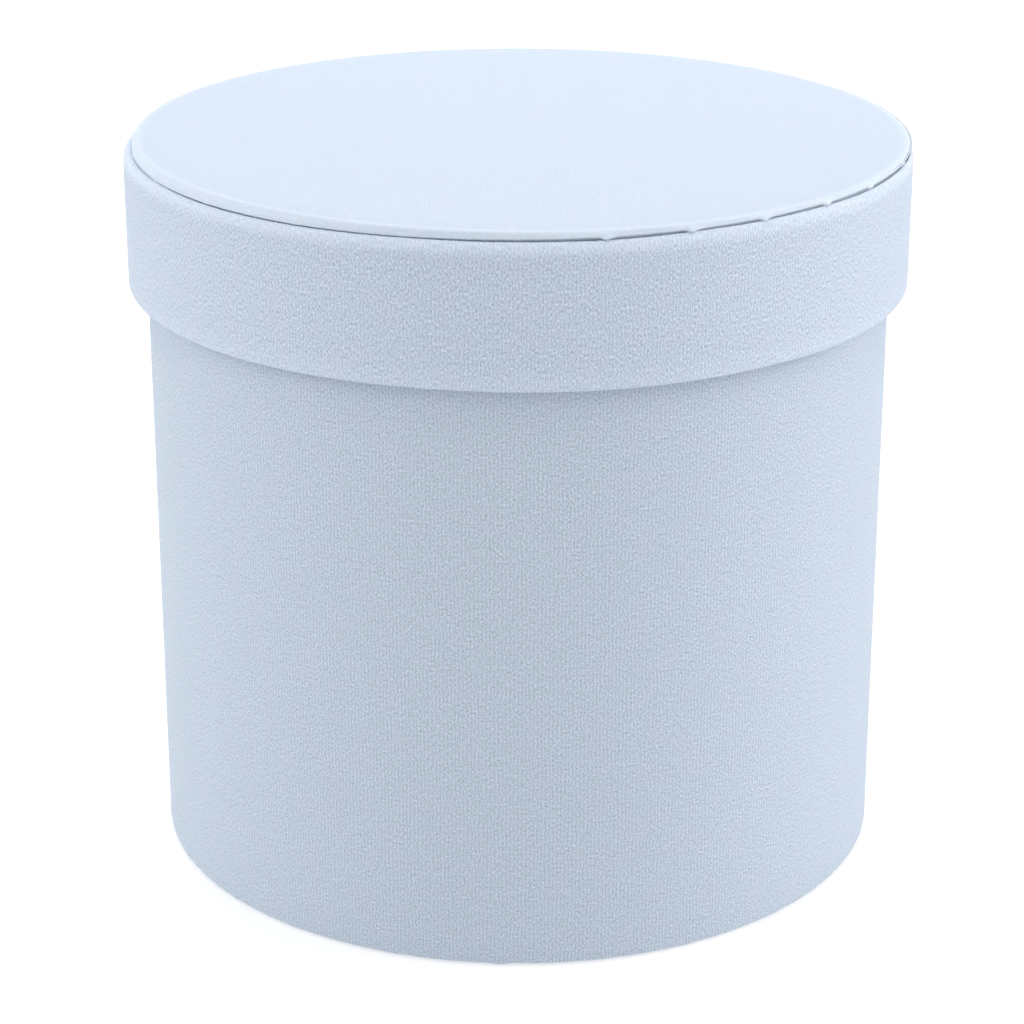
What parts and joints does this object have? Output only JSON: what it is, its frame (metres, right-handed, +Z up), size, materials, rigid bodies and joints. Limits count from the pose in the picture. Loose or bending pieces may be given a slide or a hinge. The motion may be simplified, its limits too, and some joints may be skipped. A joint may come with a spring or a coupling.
{
  "type": "flower box",
  "caption": "Round velvet-covered board flower box, taller than wide inside, with a lift-off lid made of a covered ring and a covered disc.",
  "frame": {"origin": "centre of the foot, on the surface that the box stands on", "axes": "+Z up along the axis of the tube, +Y towards the back, where the board and velvet joints are"},
  "size_m": [0.18, 0.18, 0.1694],
  "materials": {
    "velvet": "short cut pile with fine ribs, matt with a pale sheen at grazing angles",
    "grey_board": "uncoated recycled board, matt",
    "white_card": "uncoated white card, matt",
    "lining_paper": "uncoated white paper, matt",
    "gummed_tape": "brown gummed paper, slightly glossy"
  },
  "bodies": {
    "box": {"body_tube": "grey_board", "body_joint_tape": "gummed_tape", "body_velvet": "velvet", "base_board": "grey_board", "foot_paper": "lining_paper", "floor_card": "white_card", "wall_card": "white_card"},
    "lid": {"lid_ring": "grey_board", "lid_ring_tape": "gummed_tape", "lid_ring_velvet": "velvet", "lid_ring_paper": "lining_paper", "lid_inner_disc": "white_card", "lid_disc": "grey_board", "lid_disc_velvet": "velvet"}
  },
  "joints": [
    {"name": "lid_lift", "type": "slide", "parent": "box", "child": "lid", "axis": [0, 0, 1], "range_m": [0, 0.15]}
  ]
}
